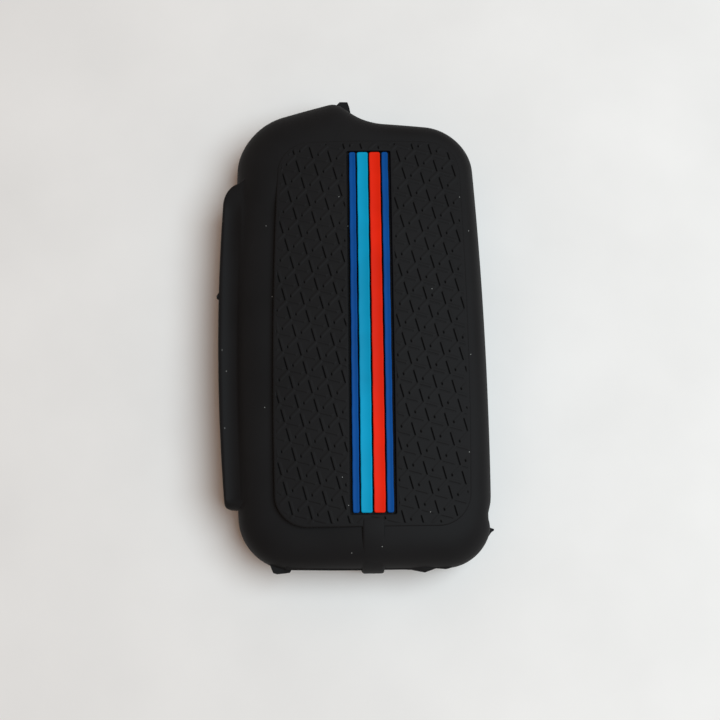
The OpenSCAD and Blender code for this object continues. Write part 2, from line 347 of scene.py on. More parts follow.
def lip_marks():
    """Shares along the slot's side, from the head end: close together where the lip begins and ends."""
    ramp_low = lip_high - 1.5
    end_high = lip_low + 1.6
    end_low = lip_low - 0.9
    # From, to and step of each stretch
    spans = [
        (shoulder_end - 0.3, ramp_low, 0.2),
        (ramp_low, end_high, 0.75),
        (end_high, end_low, 0.05),
        (end_low, tail_y + tail_reach + 0.05, 0.2),
    ]
    marks = np.concatenate([np.arange(start, end, -step) for start, end, step in spans])
    return (shoulder_end - marks) / side_span


# Points between the corners: on the right, right of the dip, from the dip to the peak, from the peak to the
# shoulder, along the slot and along the tail
edge_marks = [even(64), even(16), even(6), even(14), lip_marks(), even(40)]


def body_outline():
    head = tip_y - head_drop
    return outline(
        [
            [mid_x + body_end, tail_y],
            [mid_x + body_end, head - head_fall],
            [mid_x + dip_x, head],
            [mid_x - tip_x, tip_y],
            [mid_x - body_end, tip_y - shoulder_fall],
            [mid_x - body_end, tail_y],
        ],
        [heel_reach, head_reach, dip_reach, tip_reach, shoulder_reach, tail_reach],
        corner_steps,
        edge_marks,
    )


def bowed(points, x, half, bow):
    """Bulges the long sides: full at bow_y, nil at half a body away."""
    shift = (points[:, 0] - x) / half * bow * (1 - along(points[:, 1]) ** 2)
    return points + np.column_stack([shift, np.zeros(len(points))])


def leaning(points):
    return points - np.column_stack([lean * along(points[:, 1]), np.zeros(len(points))])


def trimmed(points):
    """Draws the head end in a little."""
    back = head_trim * ease((points[:, 1] - trim_y) / trim_run)
    return points - np.column_stack([np.zeros(len(points)), back])


def pad_outline(corner_n, marks):
    """The pad's edge, numbered as the body's outline."""
    points = outline(
        [
            [pad_x + pad_end, pad_low],
            [pad_x + pad_end, pad_high],
            [mid_x + dip_x, pad_high],
            [mid_x - tip_x, pad_high],
            [pad_x - pad_end, pad_high],
            [pad_x - pad_end, pad_low],
        ],
        [pad_reach, pad_reach, dip_reach, tip_reach, pad_reach, pad_reach],
        corner_n,
        marks,
    )
    return bowed(points, pad_x, pad_end, pad_bow)


body_ring = trimmed(leaning(bowed(body_outline(), mid_x, body_end, side_bow)))
pad_ring = pad_outline(corner_steps, edge_marks)
pad_mid = np.array([pad_x, (pad_low + pad_high) / 2])


def inset(d):
    """The body's widest outline, drawn in by d towards the pad's edge."""
    reach = np.linalg.norm(pad_ring - body_ring, axis=1)
    return blend(body_ring, pad_ring, (d / reach)[:, None])


def drawn_in(across, lengthways):
    """The pad's outline drawn in towards its middle."""
    return pad_mid + (pad_ring - pad_mid) * [across, lengthways]


# The skin's outer face

# Rings of the side: from, to and step of their heights, finest at the lip's edges and on its ledge
side_levels = [(front_edge_h, 4.4, 0.1), (4.4, 9.6, 0.4), (9.6, 10.6, 0.08), (10.6, 11.4, 0.04)]
# Rings of the back above them, closer together beside the pad
back_steps = 25
# Rings under the pad, by the shares of its width and length that they keep
crown_shares = [(0.95, 0.975), (0.66, 0.94), (0.3, 0.86)]
# The rounded back edge is a superellipse with this power: flat beside the pad, then a short round
edge_power = 2.8
# Rounding of the lip's outer edge, its corners seen from the side, and the fillet at its foot
lip_soft = 0.7
lip_corner = 1.6
lip_fillet = 0.6
# How much the lip's flanks go out for each millimetre along them
lip_slope = 4.5
# The same on its end by the tail, which is nearly square
lip_end_slope = 14
# The lip sinks into the side towards the head end, between these distances from its end there
ramp_start = -1.05
ramp_end = 2.55
ramp_sink = 1
# Past the ramp it goes on inwards by so much for each millimetre
sink_slope = 2
# The lip's upper face falls by so much for each millimetre inwards, then rises in a cove to its foot
ledge_fall = 0.25
ledge_cove = 0.6
ledge_cove_from = 0.4
ledge_cove_w = 1.8
ledge_fillet = 0.4
# How fast that starts at the tail end and runs out at the head end
ledge_low_run = 1
ledge_high_run = 3
# The uneven edge beside the heel: how deep it is, its place, and how far it spreads along and up the side
dent = 0.65
dent_y = -31.3
dent_l = 1.5
dent_h = 6


def side_x(y):
    """The left side's outermost line: its bulge and its lean."""
    t = along(y)
    return mid_x - body_end - side_bow * (1 - t * t) - lean * t


def lip_x(y, z):
    """Face of the lip round the blade slot. Its flanks are drafted, and its head end sinks into the side."""
    middle = (lip_low + lip_high) / 2
    half_l = (lip_high - lip_low) / 2
    past = np.clip((y - lip_high - ramp_start) / (ramp_end - ramp_start), 0, 1)
    fade = np.sqrt(1 - past**2)
    low_end = lip_low - y + lip_corner
    up = np.abs(z - slot_z) - slot_h / 2 - lip_wall + lip_corner
    q = np.column_stack([low_end, up])
    inside = lip_corner - np.linalg.norm(np.maximum(q, 0), axis=1) - np.minimum(q.max(axis=1), 0)
    top = np.clip(inside, 0, lip_soft)
    rounded = lip_out - lip_soft + np.sqrt(lip_soft**2 - (lip_soft - top) ** 2)
    outside = np.maximum(q, 0)
    by_end = outside[:, 0] ** 2 / np.maximum((outside**2).sum(axis=1), 1e-12)
    out = np.where(inside > 0, rounded, lip_out - lip_soft + inside * blend(lip_slope, lip_end_slope, by_end))
    out -= lip_bow * np.minimum(np.abs(y - middle) / half_l, 1) ** 2
    sink = ramp_sink + sink_slope * np.maximum(y - lip_high - ramp_end, 0)
    return side_x(y) - np.minimum(out, (out + ramp_sink) * fade - sink)


def smooth_min(a, b, k):
    """The lesser of two, with a fillet k wide where they meet."""
    return np.minimum(a, b) - k / 4 * np.maximum(0, 1 - np.abs(a - b) / k) ** 2


def edge_z(p, c):
    """Height of the rounded back edge where the share c of the way from the pad to the outline is left.

    Beside the pad the back is nearly flush with it at the head and on the right, and sunk on the left.
    """
    s = (1 - c**edge_power) ** (1 / edge_power)
    flush = np.maximum(ease((p[:, 0] - flush_x) / flush_run_x), ease((p[:, 1] - flush_y) / flush_run_y))
    lifted = (pad_rise - flush_step) * flush * s**4
    lowered = sunk * (1 - flush) * np.exp(-((c / sunk_share) ** 2))
    return back_z(p[:, 0], p[:, 1]) - back_edge_h * (1 - s) + (lifted - lowered)


def ring_at_angle(angle):
    """Ring on the rounded back edge, at an angle in degrees that may differ from point to point."""
    c = np.broadcast_to(np.cos(np.radians(angle)), len(pad_ring))
    p = blend(pad_ring, body_ring, c[:, None])
    return raised(p, edge_z(p, c))


def angle_at(z):
    """Angle of the rounded back edge at a height, for each point of the ring, and 0 below it."""
    angles = np.arange(0, 90.5, 0.5)
    heights = np.array([ring_at_angle(a)[:, 2] for a in angles])
    return np.array([np.interp(z, heights[:, i], angles) for i in range(heights.shape[1])])


def with_ledge(ring, near):
    """Heights of the near points of a ring, lowered to the lip's upper face where they lie over it."""
    p = ring[near]
    x, y = p[:, 0], p[:, 1]
    lip_edge = side_x(y) - lip_out + lip_soft
    rise = ledge_cove * np.maximum((x - lip_edge - ledge_cove_from) / ledge_cove_w, 0) ** 2
    ledge = slot_z + slot_h / 2 + lip_wall - ledge_fall * (x - lip_edge) + rise
    c = np.clip((pad_ring[near, 0] - x) / (pad_ring[near, 0] - body_ring[near, 0]), 0, 1)
    lowered = -smooth_min(-edge_z(p[:, :2], c), -ledge, ledge_fillet)
    share = ease((y - lip_low - lip_soft) / ledge_low_run) * ease((lip_high - y) / ledge_high_run)
    return np.where(x > lip_edge, blend(p[:, 2], np.minimum(p[:, 2], lowered), share), p[:, 2])


def front_edge(d, z, steps):
    """Rings of the rounded front edge, d inside the outer face and z above the table."""
    return [
        raised(inset(d + front_edge_w * (1 - math.sin(a))), z + front_edge_h * (1 - math.cos(a)))
        for a in np.linspace(0, math.pi / 2, steps + 1)
    ]


def outer_rings():
    """Rings of the skin's outer face, from the table up over the lip and the back."""
    rings = front_edge(0, 0, 8)[:-1]
    heights = np.concatenate([np.arange(*level) for level in side_levels])
    for z in heights:
        ring = ring_at_angle(angle_at(z))
        ring[:, 2] = z
        rings.append(ring)
    start = angle_at(heights[-1])
    for t in np.linspace(0, 1, back_steps + 1)[1:]:
        rings.append(ring_at_angle(blend(start, 90, 1 - (1 - t) ** 2)))
    for shares in crown_shares:
        p = drawn_in(*shares)
        rings.append(raised(p, back_z(p[:, 0], p[:, 1])))
    for ring in rings:
        lip = lip_x(ring[:, 1], ring[:, 2])
        near = ring[:, 0] < mid_x - pad_w / 2
        ring[near, 0] = smooth_min(ring[near, 0], lip[near], lip_fillet)
        ring[near, 2] = with_ledge(ring, near)
        far = ring[:, 0] > mid_x + pad_w / 2
        along_y = (ring[far, 1] - dent_y) / dent_l
        along_z = (ring[far, 2] - slot_z) / dent_h
        drop = np.exp(-(along_y**2)) * np.exp(-(along_z**2))
        ring[far, 0] -= dent * drop
    return rings


def cavity_rings():
    """Rings of the space that the key lies in, one wall inside the outer face."""
    rings = front_edge(wall, front_in, 6)
    start = inset(wall)
    for a in np.radians(np.linspace(0, 90, 16)):
        p = blend(pad_ring, start, math.cos(a))
        rings.append(raised(p, back_z(p[:, 0], p[:, 1]) - wall - (back_edge_h - wall) * (1 - math.sin(a))))
    for shares in crown_shares[1:]:
        p = drawn_in(*shares)
        rings.append(raised(p, back_z(p[:, 0], p[:, 1]) - wall))
    return [ring[::3] for ring in rings]


def softened(low, high, soft_low, soft_high, steps=4):
    """Heights of a cutter and how far it grows there, so that the edges it leaves are rounded."""
    turn = np.linspace(0, math.pi / 2, steps + 1)
    made = [(low - OVER, soft_low)]
    made += [(low + soft_low * math.sin(a), soft_low * (1 - math.sin(a)) if soft_low else 0) for a in turn]
    if soft_high:
        made += [(high - soft_high * (1 - math.sin(a)), -soft_high * (1 - math.cos(a))) for a in turn]
    else:
        made.append((high, 0))
    return made


def quarter(r, steps):
    """Pairs of how far to go up and how far in, round a quarter circle that starts upright."""
    return [(r * math.sin(a), r * (1 - math.cos(a))) for a in np.linspace(0, math.pi / 2, steps + 1)]


def strap_block():
    """Band over the tail's middle: from the pad's edge over the back and down past the keyring mouth."""
    half = strap_w / 2
    side = [(-half, -OVER)] + [(-half + i, strap_rise - strap_soft + u) for u, i in quarter(strap_soft, 5)]
    section = np.array(side + [(-x, r) for x, r in side[::-1]])
    x, r = pad_x + section[:, 0], section[:, 1]
    rings = []
    for y in np.linspace(pad_low + strap_on_pad, pad_low, 5)[:-1]:
        rings.append(np.column_stack([x, np.full(len(x), y), back_z(pad_x, y) + r]))
    for a in np.radians(np.linspace(90, 0, 28)):
        y = blend(pad_low, tail_y - r, math.cos(a))
        rings.append(np.column_stack([x, y, back_z(pad_x, y) + r - (back_edge_h + r) * (1 - math.sin(a))]))
    wall_top = rings[-1][:, 2]
    for t in np.linspace(0, 1, 9)[1:]:
        rings.append(np.column_stack([x, tail_y - r, blend(wall_top, strap_low, t)]))
    n = len(section)
    faces = band_faces(len(rings), n)
    faces += [list(range(n))[::-1], [(len(rings) - 1) * n + i for i in range(n)]]
    return mesh_object("strap_block", np.concatenate(rings), faces)


def end_y(x, end):
    """Outer face of the tail (-1) or the head (+1) over x."""
    ring = body_ring[np.sign(body_ring[:, 1]) == end]
    ring = ring[np.abs(ring[:, 0] - mid_x) < body_end]
    ring = ring[np.argsort(ring[:, 0])]
    return np.interp(x, ring[:, 0], ring[:, 1]) if end > 0 else np.full(len(x), tail_y)


def mouth_cutter(name, x, w, h, start, end):
    """Cutter of a mouth at the tail (-1) or the head (+1), which flares at the outer face."""
    rings = []
    stations = [(None, 0)] + [(u - mouth_flare, i) for u, i in quarter(mouth_flare, 4)]
    stations.append((OVER * 3, mouth_flare))
    for out, grow in stations:
        p = pill(w + grow * 2, h + grow * 2, mouth_corner, 8, 2, 24)
        px = x - end * p[:, 0]
        y = np.full(len(p), start) if out is None else end_y(px, end) + end * out
        rings.append(np.column_stack([px, y, mouth_z + p[:, 1]]))
    return stacked(name, rings)


def slot_cutter():
    """Cutter of the blade slot, which follows the lip's face and rounds its inner edge."""
    deep = (body_w - pad_w) / 2
    stations = [(-deep, 0), (0, 0)] + [(lip_out - slot_flare + u, i) for u, i in quarter(slot_flare, 4)]
    stations.append((lip_out + OVER, slot_flare))
    rings = []
    for out, grow in stations:
        p = pill(slot_h + grow * 2, slot_l + grow * 2, slot_corner, 6, 40, 2)
        y = p[:, 1] + slot_mid
        rings.append(np.column_stack([side_x(y) - out, y, slot_z + p[:, 0]]))
    return stacked("slot_cutter", rings)


def flat_cutter(name, shape, low, high, soft_low, soft_high, ends="across"):
    """Upright cutter: shape(grow) gives its outline, grown."""
    rings = [raised(shape(g), z) for z, g in softened(low, high, soft_low, soft_high)]
    return stacked(name, rings, ends)


def cap_ring(grow, y, corner_n=14, side_n=10, end_n=20):
    return pill(cap_w + grow * 2, cap_l + grow * 2, cap_reach + grow, corner_n, side_n, end_n) + [mid_x, y]


def circle(r, n, x, y):
    a = np.arange(n) / n * 2 * math.pi - math.pi / 2
    return np.column_stack([x + r * np.cos(a), y + r * np.sin(a)])


def channel_ring(grow, corner_n=5, side_n=120, end_n=2):
    w = channel_w + grow * 2
    l = channel_high - channel_low + grow * 2
    return pill(w, l, channel_corner + grow, corner_n, side_n, end_n) + [pad_x, channel_mid]


def cut(target, tool, operation="DIFFERENCE"):
    """Boolean of two closed meshes; the tool is used up."""
    step = target.modifiers.new("cut", "BOOLEAN")
    step.operation = operation
    step.solver = "MANIFOLD"
    step.object = tool
    finish_mesh(target)
    bpy.data.objects.remove(tool)
    return target


def finish_mesh(target):
    """Turns what the modifiers make into the object's own plain mesh."""
    ready = target.evaluated_get(bpy.context.evaluated_depsgraph_get())
    mesh = bpy.data.meshes.new_from_object(ready)
    target.modifiers.clear()
    target.data = mesh
    return target


def smooth(target, degrees=35):
    """Smooth shading, with sharp edges where faces meet at more than an angle."""
    target.data.polygons.foreach_set("use_smooth", [True] * len(target.data.polygons))
    target.data.set_sharp_from_angle(angle=math.radians(degrees))
    return target


# Thin silicone left at the mould's parting line: its lowest and highest height, the height of its slanting
# upper part, how far that leans towards the head, and its outline seen from above
flash = {
    "tail_film": (10.15, 10.9, 0.6, 0.65, [
        (-11.2, -37.9), (-11, -39.6), (-4, -39.74), (0.8, -39.78), (4.6, -39.74), (7.8, -39.74),
        (9, -39.78), (10.4, -40.08), (11.2, -40.22), (12, -39.95), (13, -39.6), (14.6, -39.74),
        (15.2, -39.6), (15.9, -39.14), (16.3, -39.2), (16.9, -38.8), (16.7, -37.9),
    ]),
    "tail_nib": (8.5, 9.4, 0.2, 0, [
        (-13.8, -38.3), (-13.35, -39.5), (-13.1, -40.05), (-12.5, -40.25), (-10.45, -40.05),
        (-10.2, -39.6), (-10.1, -38.3),
    ]),
    "heel_spur": (6.6, 7.2, 0.15, 0, [
        (20.4, -35.2), (21.9, -34.75), (22.5, -33.95), (22.95, -33.65), (22.95, -33.4), (22.4, -33.2),
        (21.7, -32.6), (20.4, -32.2),
    ]),
    "tip_nib": (6.7, 9.4, 0.6, 0, [
        (0.25, 37.7), (-0.05, 39.45), (-0.4, 40.38), (-1.8, 40.4), (-2.5, 39.65), (-4.2, 39.1),
        (-3.2, 36.6), (0.6, 36.6),
    ]),
    "lip_nib": (9.8, 10.1, 0.08, 0, [
        (-21.5, 4.6), (-22.2, 4.85), (-22.58, 5.15), (-22.62, 5.55), (-22.25, 6.1), (-21.5, 6.3),
    ]),
}
flash_soft = 0.06


def flash_block(name):
    """One piece of that flash, with its upper edge a little drawn in."""
    low, high, slant, lean_y, points = flash[name]
    ring = np.array(points, float)
    top = offset_ring(ring, flash_soft) + [0, lean_y]
    rings = [raised(ring, low), raised(ring, high - slant), raised(top, high)]
    return stacked(name, rings, "flat")


def make_skin():
    skin = stacked("silicone_skin", outer_rings(), ends="point")
    tail_inner = tail_y + pad_from_tail - wall
    head_inner = tip_y - pad_from_tip + wall
    cut(skin, mouth_cutter("ring_mouth", pad_x, ring_mouth_w, ring_mouth_h, tail_inner, -1))
    cut(skin, strap_block(), "UNION")
    for name in flash:
        cut(skin, flash_block(name), "UNION")
    cut(skin, stacked("key_cavity", cavity_rings(), ends="point"))
    cut(skin, slot_cutter())
    cut(skin, mouth_cutter("head_mouth", mid_x + mouth_x, mouth_w, mouth_h, head_inner, 1))
    ring = channel_ring(0)
    groove = [raised(ring, top_z(pad_x, ring[:, 1]) + d) for d in (-channel_depth, OVER)]
    cut(skin, stacked("groove", groove))

    def front(grow):
        return inset(front_edge_w + rim - grow)

    def release(grow):
        return circle(release_r + grow, 96, mid_x + release_x, tip_y - release_from_tip)

    cut(skin, flat_cutter("recess", front, 0, recess, recess_soft, recess_root, "point"))
    through = front_in + OVER
    for y in (lock_y, unlock_y, boot_y):
        hole = flat_cutter(
            "hole", lambda grow: cap_ring(web_w + grow, y), recess, through, button_hole_soft, 0
        )
        cut(skin, hole)
    cut(skin, flat_cutter("release", release, recess, through, release_soft, 0, "point"))
    return smooth(skin)


# Pad with its moulded texture

# The stars: their distance, the turn of their lattice in degrees, the place of one, and the fine cells that
# one distance is divided in
grip_pitch = 3.19
grip_turn = -14.2
grip_origin = (2.93, -14.25)
grip_cells = 31
# Plain margins at the pad's rim and at the channel, and the run over which the texture starts there
margin_out = 0.5
margin_in = 0.3
margin_run = 0.12
# Points on the pad's rim, in the order of edge_marks
rim_corner_steps = 18
rim_marks = [even(150), even(24), even(12), even(24), even(150), even(70)]


def inside_by(points, ring):
    """How far points lie inside a closed ring, and below zero outside it."""
    a = ring
    b = np.roll(ring, -1, axis=0)
    span = b - a
    length2 = (span**2).sum(axis=1)
    made = []
    batch = 4000
    for some in np.array_split(points, max(1, len(points) // batch)):
        rel = some[:, None, :] - a[None]
        t = np.clip((rel * span).sum(axis=2) / length2, 0, 1)
        near = np.sqrt((((rel - t[..., None] * span)) ** 2).sum(axis=2)).min(axis=1)
        below = (a[:, 1] <= some[:, None, 1]) != (b[:, 1] <= some[:, None, 1])
        climb = np.where(span[:, 1] == 0, 1e-9, span[:, 1])
        cross = a[:, 0] + (some[:, None, 1] - a[:, 1]) / climb * span[:, 0]
        odd = (below & (cross > some[:, None, 0])).sum(axis=1) % 2
        made.append(np.where(odd == 1, near, -near))
    return np.concatenate(made)


def offset_ring(ring, d):
    """A ring moved inwards by d, square to itself."""
    run = np.roll(ring, -1, axis=0) - np.roll(ring, 1, axis=0)
    run /= np.linalg.norm(run, axis=1)[:, None]
    return ring + d * np.column_stack([-run[:, 1], run[:, 0]])


def filled(points, chains):
    """Flat triangles over the hull of the points that the chains join, which keep the chains' edges."""
    order = sorted({int(k) for a, b in chains for k in (a, b)})
    local = {k: i for i, k in enumerate(order)}
    flat = [Vector((points[k][0], points[k][1])) for k in order]
    edges = [(local[a], local[b]) for a, b in chains]
    found = delaunay_2d_cdt(flat, edges, [], 0, 1e-7)
    back = [order[origin[0]] for origin in found[3]]
    made = np.array([[back[k] for k in face] for face in found[2]])
    a, b, c = (points[made[:, k], :2] for k in range(3))
    turn = np.cross(b - a, c - a)
    made[turn < 0] = made[turn < 0][:, ::-1]
    return made


def looped(ring):
    return list(zip(ring, ring[1:] + ring[:1]))


def channel_gap_of(flat):
    """How far points lie outside the channel's edge."""
    off = np.abs(flat - [pad_x, channel_mid]) - [channel_w / 2, (channel_high - channel_low) / 2]
    return np.linalg.norm(np.maximum(off, 0), axis=1) + np.minimum(off.max(axis=1), 0)


def grip_field(rim_ring):
    """The fine triangular grid along the stars' lattice, where it lies inside the margins.

    Gives its points, its triangles, how much of the texture each point gets, and a function that tells which
    of some points lie in one of its triangles.
    """
    step = grip_pitch / grip_cells
    turn = math.radians(grip_turn)
    sides = [np.array([math.cos(a), math.sin(a)]) * step for a in (turn, turn + math.pi / 3)]
    field_reach = body_l * 0.75
    count = int(field_reach / step)
    i, j = np.meshgrid(np.arange(-count, count), np.arange(-count, count), indexing="ij")
    flat = (np.array(grip_origin) + i[..., None] * sides[0] + j[..., None] * sides[1]).reshape(-1, 2)

    # Points well inside the rim's box count as inside, points out of it as outside, the rest are measured
    low, high = rim_ring.min(axis=0), rim_ring.max(axis=0)
    deep = ((flat > low + pad_reach / 2) & (flat < high - pad_reach / 2)).all(axis=1)
    near = ((flat > low) & (flat < high)).all(axis=1) & ~deep
    depth = np.where(deep, OVER, -OVER).astype(float)
    depth[near] = inside_by(flat[near], rim_ring)
    gap = channel_gap_of(flat)
    keep = (depth > pad_soft + step) & (gap > channel_soft + step)

    number = np.arange(len(flat)).reshape(i.shape)
    corners = [number[:-1, :-1], number[1:, :-1], number[:-1, 1:], number[1:, 1:]]
    lower = np.stack([corners[0], corners[1], corners[2]], axis=-1)
    upper = np.stack([corners[1], corners[3], corners[2]], axis=-1)
    kept = np.stack([keep[lower].all(axis=-1), keep[upper].all(axis=-1)], axis=-1)
    triangles = np.concatenate([lower[kept[..., 0]], upper[kept[..., 1]]])
    used, triangles = np.unique(triangles, return_inverse=True)
    at_rim = np.clip((depth[used] - margin_out) / margin_run, 0, 1)
    at_channel = np.clip((gap[used] - margin_in) / margin_run, 0, 1)

    def covers(points):
        """Which of the points lie in one of the triangles."""
        place = np.linalg.solve(np.column_stack(sides), (points - grip_origin).T).T + count
        cell = np.floor(place).astype(int)
        half = ((place - cell).sum(axis=1) > 1).astype(int)
        return kept[cell[:, 0], cell[:, 1], half]

    return flat[used], triangles.reshape(-1, 3), at_rim * at_channel, covers


def make_pad():
    """The raised pad as one closed solid: its rounded edge, plain margin, and fine field for the texture."""
    parts = []
    faces = []

    def add_points(flat, z):
        """Adds points at a height and gives their numbers."""
        first = sum(len(p) for p in parts)
        parts.append(raised(flat, z))
        return list(range(first, first + len(flat)))

    def wall_rings(ring, soft, inwards, steps):
        """The ring's wall from the back up, and its rounded upper edge; gives the lowest and highest ring."""
        numbers = [add_points(ring, back_z(ring[:, 0], ring[:, 1]) - pad_root)]
        for up, into in quarter(soft, steps):
            p = offset_ring(ring, into * inwards)
            numbers.append(add_points(p, top_z(p[:, 0], p[:, 1]) - soft + up))
        for a, b in zip(numbers, numbers[1:]):
            quads = [(a[i - 1], a[i], b[i], b[i - 1]) for i in range(len(a))]
            faces.extend(quads if inwards > 0 else [q[::-1] for q in quads])
        return numbers[0], numbers[-1]

    rim_ring = pad_outline(rim_corner_steps, rim_marks)
    rim_foot, rim_top = wall_rings(rim_ring, pad_soft, 1, 5)
    hole_foot, hole_top = wall_rings(channel_ring(0, 6, 400, 2), channel_soft, -1, 3)
    flat, triangles, share, covers = grip_field(rim_ring)
    numbers = np.array(add_points(flat, top_z(flat[:, 0], flat[:, 1])))
    field = numbers[triangles]
    points = np.concatenate(parts)
    mask = np.zeros(len(points))
    mask[numbers] = share

    def between(outer, inner, chains):
        """Triangles that fill the space between two rings, with their middles."""
        made = filled(points, chains + looped(outer) + looped(inner))
        middles = points[made, :2].mean(axis=1)
        inside = inside_by(middles, points[outer, :2]) > 0
        outside = inside_by(middles, points[inner, :2]) < 0
        return made[inside & outside], middles[inside & outside]

    edges = np.sort(np.concatenate([field[:, [0, 1]], field[:, [1, 2]], field[:, [2, 0]]]), axis=1)
    edges, times = np.unique(edges, axis=0, return_counts=True)
    border = [tuple(map(int, e)) for e in edges[times == 1]]
    margin, middles = between(rim_top, hole_top, border)
    margin = margin[~covers(middles)]
    base = between(rim_foot, hole_foot, [])[0][:, ::-1]
    faces += field.tolist() + margin.tolist() + base.tolist()
    pad = mesh_object("grip_pad", points, faces)
    pad.data.attributes.new("grip_mask", "FLOAT", "POINT").data.foreach_set("value", mask.astype(np.float32))
    return pad


# Nodes

def add(tree, kind, inputs=None, **settings):
    """A node with its settings, its values and its links; gives its outputs."""
    made = tree.nodes.new(kind)
    for name, value in settings.items():
        setattr(made, name, value)
    for key, value in (inputs or {}).items():
        if isinstance(value, bpy.types.NodeSocket):
            tree.links.new(value, made.inputs[key])
        else:
            made.inputs[key].default_value = value
    return made.outputs


def grip_tree():
    """Three-armed stars on a lattice, which lift the pad with soft flanks, steeper on one side."""
    tree = bpy.data.node_groups.new("moulded_grip", "GeometryNodeTree")
    inputs = {
        "NodeSocketGeometry": ["Pad"],
        "NodeSocketFloat": [
            "Pitch", "Arm Length", "Ridge Width", "Steep Flank", "Gentle Flank", "Height",
            "Groove Width", "Groove Depth", "Turn",
        ],
        "NodeSocketVector": ["Origin", "Side"],
        "NodeSocketInt": ["Copies"],
        "NodeSocketMaterial": ["Material"],
    }
    for kind, names in inputs.items():
        for name in names:
            tree.interface.new_socket(name, in_out="INPUT", socket_type=kind)
    tree.interface.new_socket("Pad", in_out="OUTPUT", socket_type="NodeSocketGeometry")
    given = tree.nodes.new("NodeGroupInput").outputs
    slant = math.radians(60)
    # Cosines to Side between which a groove runs in along the foot of a star's arm
    groove_from = -0.6
    groove_full = -0.97

    # The lattice: a square grid of points, slanted by 60 degrees, turned and put in place
    copies = given["Copies"]
    span = add(tree, "ShaderNodeMath", {0: copies, 1: -1.0}, operation="ADD")[0]
    size = add(tree, "ShaderNodeMath", {0: span, 1: given["Pitch"]}, operation="MULTIPLY")[0]
    counts = {"Size X": size, "Size Y": size, "Vertices X": copies, "Vertices Y": copies}
    grid = add(tree, "GeometryNodeMeshGrid", counts)["Mesh"]
    position = add(tree, "GeometryNodeInputPosition")[0]
    at = add(tree, "ShaderNodeSeparateXYZ", {0: position})
    over = {0: at["Y"], 1: math.cos(slant), 2: at["X"]}
    across = add(tree, "ShaderNodeMath", over, operation="MULTIPLY_ADD")[0]
    upward = add(tree, "ShaderNodeMath", {0: at["Y"], 1: math.sin(slant)}, operation="MULTIPLY")[0]
    skewed = add(tree, "ShaderNodeCombineXYZ", {"X": across, "Y": upward})[0]
    turning = {"Vector": skewed, "Angle": given["Turn"]}
    turned = add(tree, "ShaderNodeVectorRotate", turning, rotation_type="Z_AXIS")[0]
    placed = add(tree, "ShaderNodeVectorMath", {0: turned, 1: given["Origin"]}, operation="ADD")[0]
    lattice = add(tree, "GeometryNodeSetPosition", {"Geometry": grid, "Position": placed})[0]

    # One arm: a parallelogram whose far end is cut along the third direction; three arms make a star
    width = given["Ridge Width"]
    length = given["Arm Length"]
    cut_off = add(tree, "ShaderNodeMath", {0: width, 1: math.tan(slant)}, operation="DIVIDE")[0]
    sizes = {"Width": length, "Height": width, "Offset": cut_off}
    arm = add(tree, "GeometryNodeCurvePrimitiveQuadrilateral", sizes, mode="PARALLELOGRAM")[0]
    flat_arm = add(tree, "GeometryNodeFillCurve", {0: arm})[0]
    half = add(tree, "ShaderNodeMath", {0: length, 1: 0.5}, operation="MULTIPLY")[0]
    outwards = add(tree, "ShaderNodeCombineXYZ", {"X": half})[0]
    out_arm = add(tree, "GeometryNodeTransform", {"Geometry": flat_arm, "Translation": outwards})[0]
    hub = add(tree, "GeometryNodePoints", {"Count": 3})[0]
    number = add(tree, "GeometryNodeInputIndex")[0]
    thirds = {0: number, 1: math.radians(120), 2: given["Turn"]}
    third = add(tree, "ShaderNodeMath", thirds, operation="MULTIPLY_ADD")[0]
    spin = add(tree, "ShaderNodeCombineXYZ", {"Z": third})[0]
    arms = {"Points": hub, "Instance": out_arm, "Rotation": spin}
    star = add(tree, "GeometryNodeInstanceOnPoints", arms)[0]
    stars = add(tree, "GeometryNodeInstanceOnPoints", {"Points": lattice, "Instance": star})[0]
    tops = add(tree, "GeometryNodeRealizeInstances", {0: stars})[0]

    # The pad rises by the distance to the nearest ridge, over flanks whose width follows their direction
    spot = add(tree, "ShaderNodeVectorMath", {0: position, 1: (1, 1, 0)}, operation="MULTIPLY")[0]
    aims = {"Geometry": tops, "Sample Position": spot}
    near = add(tree, "GeometryNodeProximity", aims, target_element="FACES")
    distance = near["Distance"]
    away = add(tree, "ShaderNodeVectorMath", {0: spot, 1: near["Position"]}, operation="SUBTRACT")[0]
    heading = add(tree, "ShaderNodeVectorMath", {0: away}, operation="NORMALIZE")[0]
    pair = {0: heading, 1: given["Side"]}
    facing = add(tree, "ShaderNodeVectorMath", pair, operation="DOT_PRODUCT")["Value"]
    widths = {0: facing, 1: -1.0, 2: 1.0, 3: given["Steep Flank"], 4: given["Gentle Flank"]}
    flank = add(tree, "ShaderNodeMapRange", widths)[0]
    fall = {0: distance, 1: 0.0, 2: flank, 3: given["Height"], 4: 0.0}
    rise = add(tree, "ShaderNodeMapRange", fall, interpolation_type="SMOOTHSTEP")[0]

